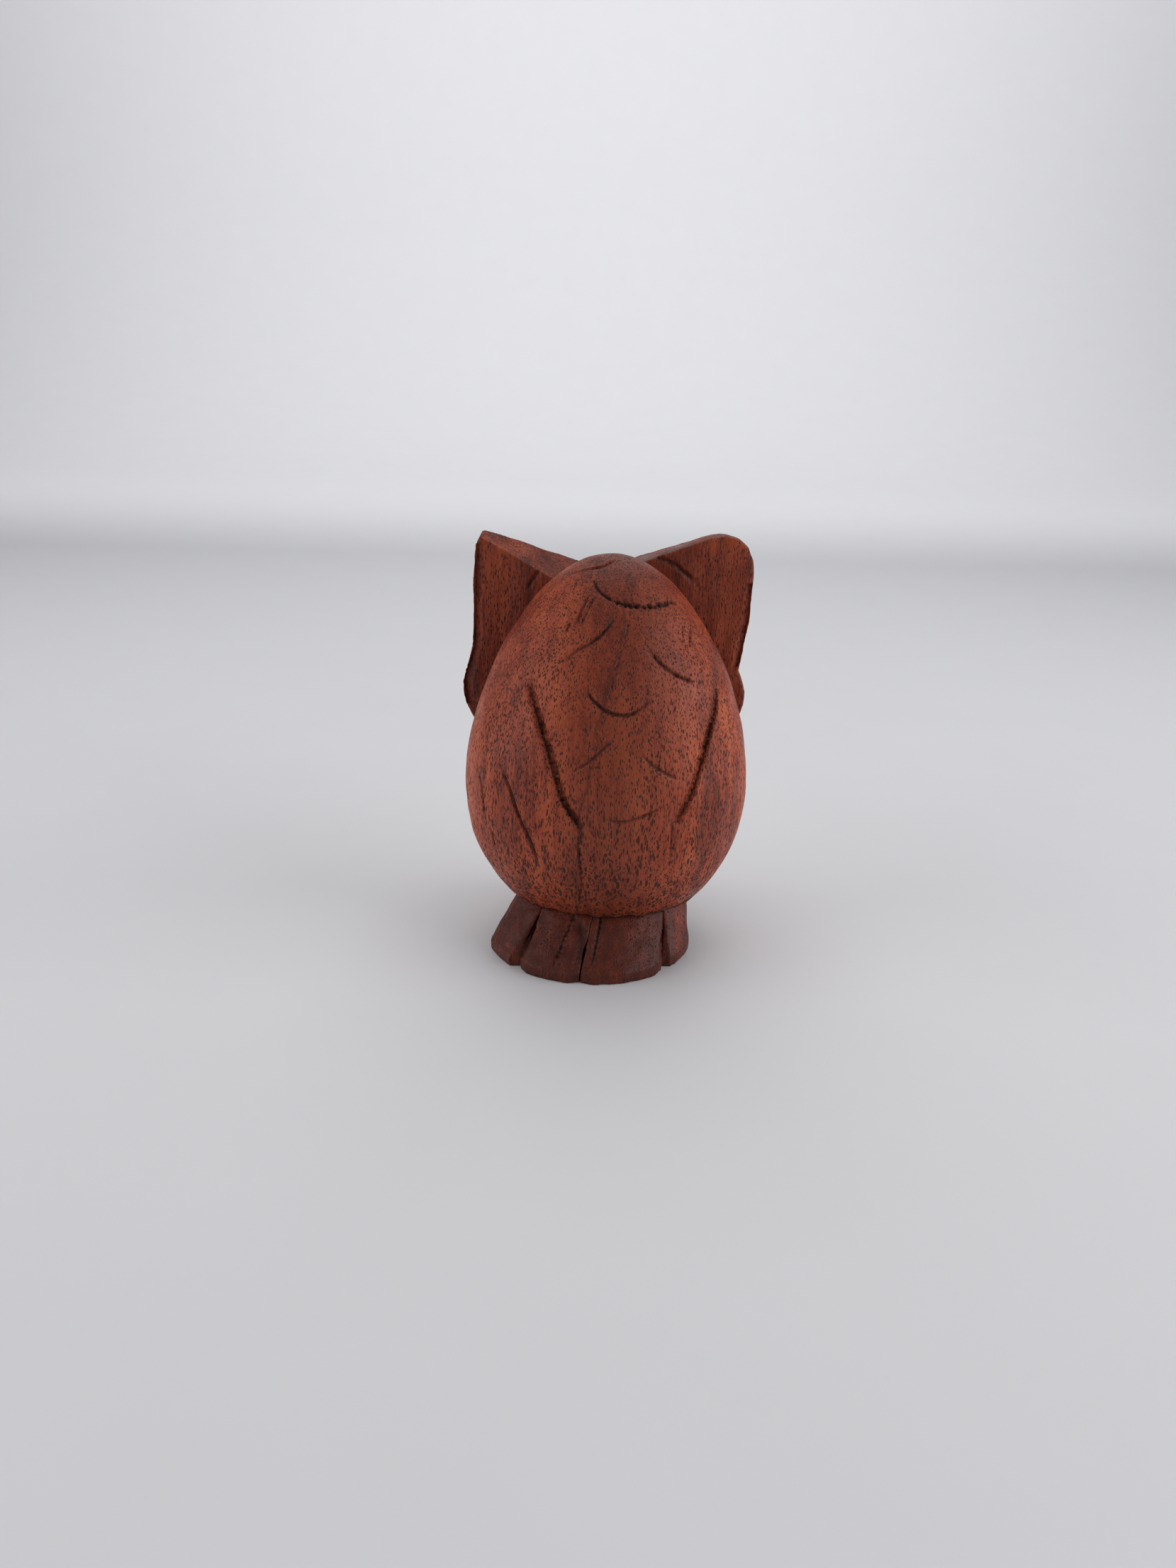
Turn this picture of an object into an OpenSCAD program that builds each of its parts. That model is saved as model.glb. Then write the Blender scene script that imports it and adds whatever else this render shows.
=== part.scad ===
// Carved hardwood owl, standing, with +Z up and its face towards -Y.
// The owl's own left is +X. Millimetres.
// The origin is the middle of the footprint, on the surface the owl stands on.

/* [Body] */
// Height of the crown above the table
crown_h = 57.7; // [50:0.1:70]
// Width of the egg-shaped body where it is widest
body_w = 41; // [34:0.2:49]
// Depth of the egg-shaped body, front to back
body_d = 33; // [28:0.2:40]
// Height of the cut that parts the body from the tail and feet
ledge_h = 8; // [6.4:0.1:9.8]
// Share by which the egg narrows towards the crown
egg_taper = 0.215; // [0.05:0.005:0.26]

/* [Wings] */
// Thickness of the wing panels
wing_t = 2.6; // [1.6:0.1:3.4]
// Half-width of the knife cut along a wing
wing_cut_r = 0.8; // [0.4:0.1:1.2]
// Height of the shoulder, where the wing cuts begin, below the crown
shoulder_drop = 15.9; // [13:0.1:19]

/* [Face] */
// Height of the ear tips above the crown
ear_rise = 1.8; // [0:0.1:4]
// How far the ear tips stand in from the side of the body
ear_inset = 2.3; // [0:0.1:5]
// Thickness of the face in front of the body, at the chin
face_t = 1.7; // [1.2:0.1:3]
// Backward lean of the face, in degrees
face_lean = 14.6; // [8:0.2:18]
// Distance between the middles of the eyes
eye_gap = 17.2; // [15.4:0.2:19]
// Depth of the eyes' middles below the crown
eye_drop = 14.2; // [12:0.1:17]
// Radius of the round socket of an eye
socket_r = 6.4; // [5.2:0.1:7]
// Radius of the black bead in the middle of an eye
bead_r = 2.4; // [1.6:0.1:3]

/* [Beak] */
// Length of the beak, along the face
beak_len = 9.4; // [7:0.1:11.5]
// How far the beak stands out from the face
beak_out = 3.1; // [1.6:0.1:3.6]

/* [Tail and feet] */
// Radius of the tail fan on the table
tail_r = 15.6; // [13:0.1:18]
// Width of the plinth between the tail and the feet
plinth_w = 22; // [18:0.2:24]
// Depth of the plinth, front to back
plinth_d = 16; // [13:0.2:17]
// Length of the middle toe in front of the plinth
toe_len = 7.6; // [6:0.1:9]
// Radius of a toe
toe_r = 1.9; // [1.4:0.1:2.2]

/* [Hidden] */

WOOD = [0.45, 0.24, 0.18];
DARK_WOOD = [0.33, 0.16, 0.12];
PALE_WOOD = [0.52, 0.29, 0.22];
BEAD = [0.05, 0.04, 0.04];

// The egg: its lowest point if it were whole, its middle and its place along Y
egg_low = 2.2;
egg_mid = (crown_h + egg_low) / 2;
egg_half = (crown_h - egg_low) / 2;
egg_peak = sqrt(1 - egg_taper * egg_taper) * (1 + egg_taper * egg_taper);
body_back = 1;
rings = 16;
sides = 40;
far = 60;
link_turn = [17, 29, 11];

// Share of the egg's full width that it has at height z
function egg_share(z) =
    let (s = min(1, max(-1, (z - egg_mid) / egg_half)))
    sqrt(1 - s * s) * (1 - egg_taper * s) / egg_peak;
function half_w(z) = body_w / 2 * egg_share(z);
function half_d(z) = body_d / 2 * egg_share(z);

// A point of the back (way = 1) or the front (way = -1) of the egg
function egg_point(x, z, way = 1) =
    let (u = x / max(half_w(z), 0.01))
    [x, body_back + way * half_d(z) * sqrt(max(0, 1 - u * u)), z];

// Rings of the egg from the ledge to the crown, [height, share, shrink];
// the two lowest round the edge over the tail
ledge_angle = acos((egg_mid - ledge_h) / egg_half);
function ring_z(i) =
    egg_mid - egg_half * cos(ledge_angle + (178 - ledge_angle) * i / rings);
egg_rings = concat(
    [[ledge_h, 0.93], [ledge_h + 0.4, 0.975]],
    [for (i = [1 : rings]) [ring_z(i), 1]]
);

// The whole egg above the ledge, its skin moved inwards by inset. Each ring is
// turned by half a side against the next, so no two facets lie in one plane
module egg_solid(inset = 0) {
    count = len(egg_rings);
    points = [
        for (i = [0 : count - 1], k = [0 : sides - 1])
            let (
                z = egg_rings[i][0],
                shrink = egg_rings[i][1],
                a = 360 * (k + (i % 2) / 2) / sides,
                w = max(0.05, half_w(z) * shrink - inset),
                d = max(0.05, half_d(z) * shrink - inset),
                fall = z > ledge_h ? inset / 4 : inset * 2
            )
            [w * cos(a), body_back + d * sin(a), z - fall]
    ];
    walls = [
        for (i = [0 : count - 2], k = [0 : sides - 1])
            let (low = i * sides, high = low + sides, n = (k + 1) % sides)
            each i % 2 == 0
                ? [[low + k, high + k, low + n], [low + n, high + k, high + n]]
                : [[low + k, high + k, high + n], [low + k, high + n, low + n]]
    ];
    floor_face = [for (k = [0 : sides - 1]) k];
    roof_face = [for (k = [sides - 1 : -1 : 0]) (count - 1) * sides + k];
    polyhedron(points, concat(walls, [floor_face, roof_face]), convexity = 4);
}

// A knife or gouge stroke: a chain of rounded links through the points,
// turned a little so that no corner of a link lies on a seam
module stroke(points, r) {
    for (i = [0 : len(points) - 2])
        hull() {
            translate(points[i]) rotate(link_turn) sphere(r, $fn = 8);
            translate(points[i + 1]) rotate(link_turn) sphere(r, $fn = 8);
        }
}

// A curved gouge stroke on the back, hanging like a shallow cup
module scallop(x, drop, width, sag, tilt = 0, r = 0.35, way = 1, step = 0.5) {
    stroke(
        [
            for (t = [-1 : step : 1])
                egg_point(x + t * width / 2, crown_h - drop - sag * (1 - t * t) + tilt * t, way)
        ],
        r
    );
}

// Wing cuts: places across the back, and heights below the crown,
// from the shoulder down past the ledge; the right cut is the wider
wing_left_cut = [
    [10.7, shoulder_drop], [8.7, 21.8], [6.1, 29.9], [3.4, 34], [3.6, far]
];
wing_right_cut = [
    [-14.6, shoulder_drop + 1], [-13.6, 22.1], [-11.5, 29.2], [-9.2, 33.5], [-9, far]
];
// Front edge of a wing, from the shoulder down past the ledge
wing_front = [[16.5, shoulder_drop + 7.6], [14.5, 31.5], [10.5, far]];

// Every cut runs on a little below the ledge, so that it ends outside the body
run_out = 1.3;
function cut_points(cut) = [for (p = cut) [p[0], max(ledge_h - run_out, crown_h - p[1])]];

// The region of one wing seen along Y, for the back or the front of the body
module wing_region(cut, side) {
    edge = cut_points(cut);
    shoulder = crown_h - shoulder_drop - 7;
    polygon(concat(
        edge,
        [[edge[len(edge) - 1][0], 0], [side * far, 0], [side * far, shoulder]],
        [[side * half_w(shoulder), shoulder]]
    ));
}

module wing_prism(cut, side) {
    translate([0, body_back, 0]) rotate([90, 0, 0]) mirror([0, 0, 1])
        linear_extrude(far) wing_region(cut, side);
    translate([0, body_back, 0]) rotate([90, 0, 0])
        linear_extrude(far) wing_region([for (p = wing_front) [side * p[0], p[1]]], side);
}

// Points along a path, close enough together for a stroke to keep to the skin
function between(path, parts = 4) = concat(
    [
        for (i = [0 : len(path) - 2], j = [0 : parts - 1])
            path[i] + (path[i + 1] - path[i]) * j / parts
    ],
    [path[len(path) - 1]]
);

module wing_cut(cut, side) {
    points = cut_points(cut);
    back = [for (i = [0 : len(points) - 2]) points[i]];
    stroke([for (p = between(back)) egg_point(p[0], p[1])], wing_cut_r);
    front = between(cut_points(wing_front));
    stroke([for (p = front) egg_point(side * p[0], p[1], -1)], wing_cut_r / 2);
}

// Feather lines on the outside of a wing: where each begins and ends, as
// [share of the body's half-width, height below the crown]
feather_lines = [
    [[0.72, 26.7], [0.46, 40]], [[0.89, 28.2], [0.82, 36]], [[0.58, 38], [0.52, 44]]
];

module wing_lines(side) {
    steps = 4;
    for (line = feather_lines)
        stroke(
            [
                for (i = [0 : steps])
                    let (p = line[0] + (line[1] - line[0]) * i / steps)
                    egg_point(side * p[0] * body_w / 2, crown_h - p[1])
            ],
            0.3
        );
}

module wing(cut, side) {
    difference() {
        intersection() {
            egg_solid();
            wing_prism(cut, side);
        }
        egg_solid(wing_t);
        wing_cut(cut, side);
        wing_lines(side);
    }
}

module wing_left() {
    color(PALE_WOOD) wing(wing_left_cut, 1);
}

module wing_right() {
    color(PALE_WOOD) wing(wing_right_cut, -1);
}

module wing_seat(cut, side) {
    difference() {
        wing_prism(cut, side);
        egg_solid(wing_t);
    }
}

module back_strokes() {
    scallop(-3, 5, 11.2, 0.6, -0.9, 0.5);
    scallop(2.8, 9.2, 6.4, 0.5, -2.6);
    scallop(-7.8, 12.3, 6.6, 0.6, 2.2);
    scallop(-1.2, 16.2, 8.4, 2.2, 0.4, 0.45);
    scallop(2.2, 23, 5.6, 0.4, -2.2);
    scallop(-6.7, 24.8, 5.2, 0.3, 1.9);
    scallop(-3.6, 31.4, 8.6, 1, -0.7);
}

module chest_strokes() {
    for (row = [0 : 3], k = [-1 : 1])
        scallop(k * 6 + (row % 2) * 3 - 1.5, 31 + row * 4.6, 4.2, 1, 0, 0.3, -1, 1);
}

module body() {
    color(WOOD) difference() {
        egg_solid();
        wing_seat(wing_left_cut, 1);
        wing_seat(wing_right_cut, -1);
        wing_cut(wing_left_cut, 1);
        wing_cut(wing_right_cut, -1);
        back_strokes();
        chest_strokes();
    }
}

// The face: a leaning, slightly rounded front laid over the egg
eye_x = eye_gap / 2;
eye_z = crown_h - eye_drop;
chin_z = crown_h - 23.7;
face_front = egg_point(0, chin_z, -1)[1] - face_t;
face_round = 52;
ring_w = 1.6;
flange_back = -4.5;
brow_slope = 0.38;
ear_tip_x = body_w / 2 - ear_inset;
ear_tip_z = crown_h + ear_rise;
brow_z = ear_tip_z - brow_slope * ear_tip_x;

module face_frame() {
    translate([0, face_front, chin_z]) rotate([-face_lean, 0, 0]) children();
}

// How far the round front has fallen back at distance x from the middle
function front_fall(x) = face_round - sqrt(face_round * face_round - x * x);

// Everything behind the front of the face
module face_envelope() {
    face_frame() translate([0, face_round, -far])
        cylinder(r = face_round, h = 2 * far, $fn = 180);
}

// Where an ear turns into its cheek, [distance from the middle, height], and
// the cheek below it: how far it stands out past the body, and its middle
pinch_left = [body_w / 2 - 0.8, crown_h - 15.1];
pinch_right = [body_w / 2 - 1.5, crown_h - 18];
cheek_r = 7.6;
cheek_left = [0.8, crown_h - 21.3];
cheek_right = [-0.3, crown_h - 21.9];

// What an ear and a cheek leave free: the ring of the eye and the middle
module face_middle(side) {
    translate([side * eye_x, eye_z]) circle(socket_r + ring_w, $fn = 40);
    polygon([
        [0, 0], [0, eye_z + 3.6], [side * eye_x, eye_z + 3.6],
        [side * eye_x, eye_z - socket_r], [side * (eye_x + 4.5), 0]
    ]);
}

// An ear, its half of the brow and the cheek below it, seen from the front; the
// ear has the corners given, as [x, z], and they are rounded by soft
module ear_outline(side, corners, pinch, cheek, lift, soft) {
    difference() {
        union() {
            intersection() {
                offset(r = soft) offset(delta = -soft)
                    polygon(concat(
                        [[-side * far, brow_z + lift - far * brow_slope]],
                        [for (c = corners) [side * c[0], c[1]]],
                        [[side * (pinch[0] - 0.9), pinch[1] - 6], [-side * far, pinch[1] - 6]]
                    ));
                translate([side * far / 2, pinch[1] + far / 2])
                    square(far, center = true);
            }
            hull() {
                translate([side * (body_w / 2 + cheek[0] - cheek_r), cheek[1]])
                    circle(cheek_r, $fn = 48);
                translate([side * (pinch[0] - 1), pinch[1]]) circle(1, $fn = 16);
            }
        }
        face_middle(side);
    }
}

module ear_left_outline() {
    ear_outline(1, [
        [ear_tip_x, ear_tip_z], [ear_tip_x + 0.9, ear_tip_z - 1.6],
        [ear_tip_x + 1.2, ear_tip_z - 5], pinch_left
    ], pinch_left, cheek_left, 0, 0.3);
}

module ear_right_outline() {
    lift = 1.25;
    ear_outline(-1, [
        [body_w / 2 - 0.2, brow_z + lift + brow_slope * body_w / 2],
        [body_w / 2 - 0.3, crown_h - 10], pinch_right
    ], pinch_right, cheek_right, lift, 4.5);
}

module face_outline() {
    difference() {
        union() {
            for (side = [-1, 1])
                translate([side * eye_x, eye_z]) circle(socket_r + ring_w, $fn = 40);
            hull() {
                translate([0, chin_z + 1.5]) circle(4.5, $fn = 32);
                for (side = [-1, 1]) {
                    translate([side * (body_w / 2 - 6.4), eye_z + 2])
                        circle(4, $fn = 24);
                    translate([side * 5.5, chin_z + 3])
                        circle(4, $fn = 24);
                    translate([side * 2, brow_z - 3])
                        circle(2, $fn = 16);
                }
            }
        }
        ear_left_outline();
        ear_right_outline();
    }
}

module face_slab() {
    difference() {
        intersection() {
            translate([0, flange_back, 0]) rotate([90, 0, 0]) linear_extrude(far) children();
            face_envelope();
        }
        egg_solid();
    }
}

module eye_frame(side) {
    face_frame() translate([side * eye_x, 0, (eye_z - chin_z) / cos(face_lean)])
        translate([0, front_fall(eye_x), 0])
        rotate([90, 0, side * asin(eye_x / face_round)]) children();
}

socket_depth = 1.5;

module eye_socket(side) {
    eye_frame(side) translate([0, 0, -socket_depth]) cylinder(r = socket_r, h = far, $fn = 64);
}

// Fine rays cut around an eye
module eye_rays(side) {
    for (k = [0 : 5])
        let (a = side > 0 ? -75 + 22 * k : 255 - 22 * k)
        eye_frame(side) hull() {
            translate([(socket_r + 1) * cos(a), (socket_r + 1) * sin(a), 0]) sphere(0.25, $fn = 8);
            translate([(socket_r + 4) * cos(a), (socket_r + 4) * sin(a), -0.6]) sphere(0.25, $fn = 8);
        }
}

module face_disc() {
    color(WOOD) difference() {
        face_slab() face_outline();
        for (side = [-1, 1])
            eye_socket(side);
    }
}

// Slanting feather lines on the front of an ear
module ear_lines(side) {
    for (k = [0 : 7])
        let (x = 4 + 1.6 * k, z = (ear_tip_z - chin_z) / cos(face_lean) - 7.6 + 0.55 * k)
        face_frame() hull() {
            translate([side * (x + 0.8), front_fall(x + 0.8), z])
                rotate(link_turn) sphere(0.3, $fn = 8);
            translate([side * x, front_fall(x), z - 2 - 0.2 * k])
                rotate(link_turn) sphere(0.3, $fn = 8);
        }
}

// The sloping facet along the top of the left ear, behind: its crease rises
// from its low end to the tip of the ear
crease_low = [8, crown_h - 4.6];
crease_rise = atan((ear_tip_z - crease_low[1]) / (ear_tip_x - crease_low[0]));
facet_slope = 34;

module ear_facet() {
    translate([crease_low[0], flange_back, crease_low[1]])
        rotate([0, -crease_rise, 0]) rotate([-facet_slope, 0, 0])
        translate([-far, -far / 2, 0]) cube([2 * far, far, far]);
}

module ear_left() {
    color(WOOD) difference() {
        face_slab() ear_left_outline();
        ear_facet();
        ear_lines(1);
        eye_rays(1);
    }
}

module ear_right() {
    color(DARK_WOOD) difference() {
        face_slab() ear_right_outline();
        ear_lines(-1);
        eye_rays(-1);
    }
}

// An eye: a turned wooden dish with a raised middle and a seat for its bead
peg_r = 1.1;
peg_len = 1.2;
peg_play = 0.1;
eye_dome = 0.9;
eye_play = 0.05;

module eye(side) {
    color(PALE_WOOD) eye_frame(side) difference() {
        translate([0, 0, -socket_depth]) rotate_extrude($fn = 64)
            polygon([
                [0, 0], [socket_r - eye_play, 0], [socket_r - eye_play, socket_depth - 0.3],
                [socket_r - 1.1, socket_depth - 0.9], [socket_r - 1.8, socket_depth - 0.6],
                [bead_r + 0.9, socket_depth + eye_dome - 0.5],
                [bead_r + 0.5, socket_depth + eye_dome - 0.4], [0, socket_depth + eye_dome - 0.4]
            ]);
        translate([0, 0, eye_dome - 0.4 - peg_len - peg_play])
            cylinder(r = peg_r + peg_play, h = far, $fn = 32);
    }
}

module eye_left() {
    eye(1);
}

module eye_right() {
    eye(-1);
}

module pupil(side) {
    color(BEAD) eye_frame(side) translate([0, 0, eye_dome - 0.4]) {
        intersection() {
            translate([0, 0, -bead_r * 0.6]) sphere(r = bead_r * 1.166, $fn = 48);
            cylinder(r = far, h = far, $fn = 32);
        }
        translate([0, 0, -peg_len]) cylinder(r = peg_r, h = peg_len + 0.2, $fn = 32);
    }
}

module pupil_left() {
    pupil(1);
}

module pupil_right() {
    pupil(-1);
}

// The beak, a chain of links that swells from its root and hooks down to its tip
beak_links = 9;
function beak_swell(t) = sin(180 * pow(t, 0.8));
function beak_place(t) = [
    0, 0.9 - beak_out * beak_swell(t) * 0.85 - 0.4 * t,
    (eye_z - chin_z) / cos(face_lean) + 3.2 - beak_len * t
];
function beak_size(t) = 0.5 + 1.3 * beak_swell(t) * (1 - 0.35 * t);

module beak_link(t) {
    translate(beak_place(t)) sphere(beak_size(t), $fn = 12);
    translate([0, 0.8, beak_place(t)[2]]) sphere(beak_size(t) * 1.25, $fn = 12);
}

module beak() {
    color(DARK_WOOD) difference() {
        face_frame() for (i = [0 : beak_links - 1])
            hull() {
                beak_link(i / beak_links);
                beak_link((i + 1) / beak_links);
            }
        face_envelope();
        for (side = [-1, 1])
            eye_socket(side);
    }
}

// The plinth: what is left of the block between the tail and the feet
module plinth_outline() {
    r = plinth_d / 2;
    square([plinth_w - plinth_d, plinth_d], center = true);
    for (side = [-1, 1])
        translate([side * (plinth_w / 2 - r), 0]) circle(r, $fn = 64);
}

module plinth() {
    color(DARK_WOOD) linear_extrude(ledge_h) plinth_outline();
}

// The tail: a fan of four feathers about a point of the plinth
tail_x = 1.6;
tail_y = 2.4;
tail_top_w = body_w / 2 * egg_share(ledge_h) * 0.9;
tail_top_d = body_d / 2 * egg_share(ledge_h) * 0.9;

function fan_point(a, r) = [tail_x + r * cos(a), tail_y + r * sin(a)];
function top_point(a, share) = [share * tail_top_w * cos(a), body_back + share * tail_top_d * sin(a)];

// A feather between two directions, set in from the fan's rim by inset
module feather(from, to, inset, corner) {
    steps = 6;
    r = tail_r - inset;
    rim = [
        for (i = [0 : steps])
            let (t = i / steps, a = from + (to - from) * t, e = min(t, 1 - t))
            fan_point(a, r - corner * max(0, 1 - 6 * e))
    ];
    top = [for (i = [0 : steps]) top_point(from + (to - from) * i / steps, 1)];
    hull() {
        linear_extrude(1.6) polygon(concat(rim, [fan_point(to, 5), fan_point(from, 5)]));
        translate([0, 0, ledge_h - 0.2]) linear_extrude(0.2)
            polygon(concat(top, [top_point(to, 0.4), top_point(from, 0.4)]));
    }
}

module feather_inner_left() {
    feather(48, 84, -0.2, 0.6);
}

module feather_inner_right() {
    feather(84, 133, -0.1, 0.6);
}

// Takes what the plinth fills out of a feather
module clear_plinth() {
    difference() {
        children();
        translate([0, 0, -1]) linear_extrude(ledge_h + 2) plinth_outline();
    }
}

// The inner right feather is whole, and each other one stops at its neighbour
module tail_outer_left() {
    color(DARK_WOOD) clear_plinth() difference() {
        feather(15, 48, -0.4, 1.4);
        feather_inner_left();
    }
}

module tail_inner_left() {
    color(DARK_WOOD) clear_plinth() difference() {
        feather_inner_left();
        feather_inner_right();
    }
}

module tail_inner_right() {
    color(DARK_WOOD) clear_plinth() feather_inner_right();
}

module tail_outer_right() {
    color(DARK_WOOD) clear_plinth() difference() {
        feather(133, 166.5, 0.2, 1.8);
        feather_inner_right();
    }
}

// A foot: an instep and three toes in front of the plinth, under the belly
foot_x = 5.8;
toe_gap = 3.3;

module toe(k, side) {
    splay = k * toe_gap;
    heel_y = -plinth_d / 2 + 0.5;
    hull() {
        translate([side * foot_x + k * 2, heel_y, ledge_h - 2.6 - toe_r / 2])
            sphere(toe_r + 0.3, $fn = 20);
        translate([side * foot_x + splay, heel_y - toe_len * 0.6 + abs(k) * 0.8, toe_r])
            sphere(toe_r, $fn = 20);
        translate([side * foot_x + splay * 1.05, heel_y - toe_len + abs(k) * 1.4, toe_r * 0.55])
            sphere(toe_r * 0.7, $fn = 20);
    }
}

module foot(side) {
    color(DARK_WOOD) difference() {
        intersection() {
            for (k = [-1 : 1])
                toe(k, side);
            translate([-far / 2, -far / 2, 0]) cube([far, far, ledge_h]);
        }
        translate([0, 0, -1]) linear_extrude(ledge_h + 2) plinth_outline();
    }
}

module foot_left() {
    foot(1);
}

module foot_right() {
    foot(-1);
}

body();
wing_left();
wing_right();
face_disc();
ear_left();
ear_right();
beak();
eye_left();
eye_right();
pupil_left();
pupil_right();
tail_outer_left();
tail_inner_left();
tail_inner_right();
tail_outer_right();
foot_left();
foot_right();
plinth();
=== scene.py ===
"""Small carved hardwood owl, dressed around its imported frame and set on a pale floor.

Pieces are shaped in millimetres and turned into metres when they are finished.
The owl faces -Y and its own left is +X.
"""

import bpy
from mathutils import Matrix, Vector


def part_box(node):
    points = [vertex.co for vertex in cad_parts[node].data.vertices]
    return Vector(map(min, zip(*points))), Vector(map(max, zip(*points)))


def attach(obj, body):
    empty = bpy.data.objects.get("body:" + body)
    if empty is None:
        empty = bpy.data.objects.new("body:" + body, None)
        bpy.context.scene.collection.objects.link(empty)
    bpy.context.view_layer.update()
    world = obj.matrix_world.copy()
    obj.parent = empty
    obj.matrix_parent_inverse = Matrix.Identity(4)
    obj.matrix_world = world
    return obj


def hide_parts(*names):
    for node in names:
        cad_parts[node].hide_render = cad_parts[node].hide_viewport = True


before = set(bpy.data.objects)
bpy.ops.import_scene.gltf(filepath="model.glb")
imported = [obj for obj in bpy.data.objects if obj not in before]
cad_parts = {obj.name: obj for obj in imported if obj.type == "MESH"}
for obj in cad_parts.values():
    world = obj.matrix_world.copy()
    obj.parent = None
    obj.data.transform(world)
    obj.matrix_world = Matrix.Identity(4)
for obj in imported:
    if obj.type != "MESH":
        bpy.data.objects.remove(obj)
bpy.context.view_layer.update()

import math

import bmesh
import bpy
import numpy as np
from bpy.props import FloatProperty, FloatVectorProperty, IntProperty, PointerProperty
from mathutils import Matrix, Vector, noise

bl_info = {
    "name": "Carved Owl",
    "version": (1, 0, 0),
    "blender": (4, 5, 0),
    "location": "View3D > Sidebar > Owl",
    "description": "Carves a small hardwood owl and sets it on a pale studio floor",
    "category": "Add Mesh",
}

MM = 0.001
BODY = "root"
EVERY = 1e-6


# ---------------------------------------------------------------- the frame


def node_box(name):
    """Lowest and highest corner of a frame node, in millimetres."""
    low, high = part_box(name)
    return Vector(low) / MM, Vector(high) / MM


def trunk_box():
    """Box of the trunk and both wings together, in millimetres."""
    boxes = [node_box(name) for name in ("body", "wing_left", "wing_right")]
    low = Vector(min(box[0][axis] for box in boxes) for axis in range(3))
    high = Vector(max(box[1][axis] for box in boxes) for axis in range(3))
    return low, high


TRUNK_LOW, TRUNK_HIGH = trunk_box()


# ---------------------------------------------------------------- settings


class OwlSizes(bpy.types.PropertyGroup):
    """Sizes that a user would change."""

    body_width: FloatProperty(
        name="Body width", description="Width of the egg-shaped body",
        default=(TRUNK_HIGH.x - TRUNK_LOW.x) * MM, min=0.02, max=0.1, unit="LENGTH",
    )
    body_depth: FloatProperty(
        name="Body depth", description="Depth of the egg-shaped body, front to back",
        default=(TRUNK_HIGH.y - TRUNK_LOW.y) * MM, min=0.02, max=0.1, unit="LENGTH",
    )
    crown_height: FloatProperty(
        name="Crown height", description="Height of the crown above the floor",
        default=TRUNK_HIGH.z * MM, min=0.03, max=0.15, unit="LENGTH",
    )
    ledge_height: FloatProperty(
        name="Ledge height", description="Height of the cut over the tail",
        default=TRUNK_LOW.z * MM, min=0.004, max=0.02, unit="LENGTH",
    )
    cut_depth: FloatProperty(
        name="Cut depth", description="Depth of the long cut along a wing",
        default=0.0011, min=0.0, max=0.003, unit="LENGTH",
    )
    unevenness: FloatProperty(
        name="Unevenness", description="How far the hand-carved surface wanders",
        default=0.00016, min=0.0, max=0.001, unit="LENGTH",
    )
    body_steps: IntProperty(
        name="Body steps", description="Number of segments around the body",
        default=176, min=48, max=256,
    )
    fine_steps: IntProperty(
        name="Fine steps", description="Times that the surface is refined beside a cut",
        default=2, min=1, max=3,
    )
    clay_size: FloatProperty(
        name="Clay size", description="Size of the smallest detail of the smaller pieces",
        default=0.00024, min=0.00015, max=0.001, unit="LENGTH",
    )


class OwlFinish(bpy.types.PropertyGroup):
    """Colours and sheen of the wood and the beads."""

    wood_light: FloatVectorProperty(
        name="Light wood", description="Colour of the light fibres", subtype="COLOR",
        size=3, min=0.0, max=1.0, default=(0.52, 0.104, 0.034),
    )
    wood_red: FloatVectorProperty(
        name="Red wood", description="Colour of the middle fibres", subtype="COLOR",
        size=3, min=0.0, max=1.0, default=(0.30, 0.044, 0.015),
    )
    wood_dark: FloatVectorProperty(
        name="Dark wood", description="Colour of the dark fibres and streaks", subtype="COLOR",
        size=3, min=0.0, max=1.0, default=(0.082, 0.012, 0.005),
    )
    pore: FloatVectorProperty(
        name="Pores", description="Colour inside the open pores", subtype="COLOR",
        size=3, min=0.0, max=1.0, default=(0.030, 0.006, 0.003),
    )
    bead: FloatVectorProperty(
        name="Bead", description="Colour of the eye beads", subtype="COLOR",
        size=3, min=0.0, max=1.0, default=(0.006, 0.005, 0.005),
    )
    wax: FloatProperty(
        name="Wax", description="Amount of wax sheen over the wood",
        default=0.06, min=0.0, max=1.0, subtype="FACTOR",
    )


class OwlStage(bpy.types.PropertyGroup):
    """Floor, lights and camera."""

    camera_distance: FloatProperty(
        name="Camera distance", description="Distance of the camera behind the owl",
        default=0.15615, min=0.05, max=1.0, unit="LENGTH",
    )
    camera_height: FloatProperty(
        name="Camera height", description="Height of the camera above the floor",
        default=0.0859, min=0.01, max=0.5, unit="LENGTH",
    )
    camera_side: FloatProperty(
        name="Camera side", description="Sideways place of the camera",
        default=0.0026, min=-0.1, max=0.1, unit="LENGTH",
    )
    camera_pitch: FloatProperty(
        name="Camera pitch", description="How far the camera looks down",
        default=math.radians(21.81), min=0.0, max=1.5, unit="ROTATION",
    )
    camera_roll: FloatProperty(
        name="Camera roll", description="Roll of the camera",
        default=math.radians(1.34), min=-0.5, max=0.5, unit="ROTATION",
    )
    lens: FloatProperty(
        name="Lens", description="Focal length of the camera, in millimetres",
        default=26.04, min=10.0, max=200.0, unit="CAMERA",
    )
    floor_colour: FloatVectorProperty(
        name="Floor colour", description="Colour of the floor", subtype="COLOR",
        size=3, min=0.0, max=1.0, default=(0.76, 0.76, 0.78),
    )


# ---------------------------------------------------------------- the egg


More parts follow.
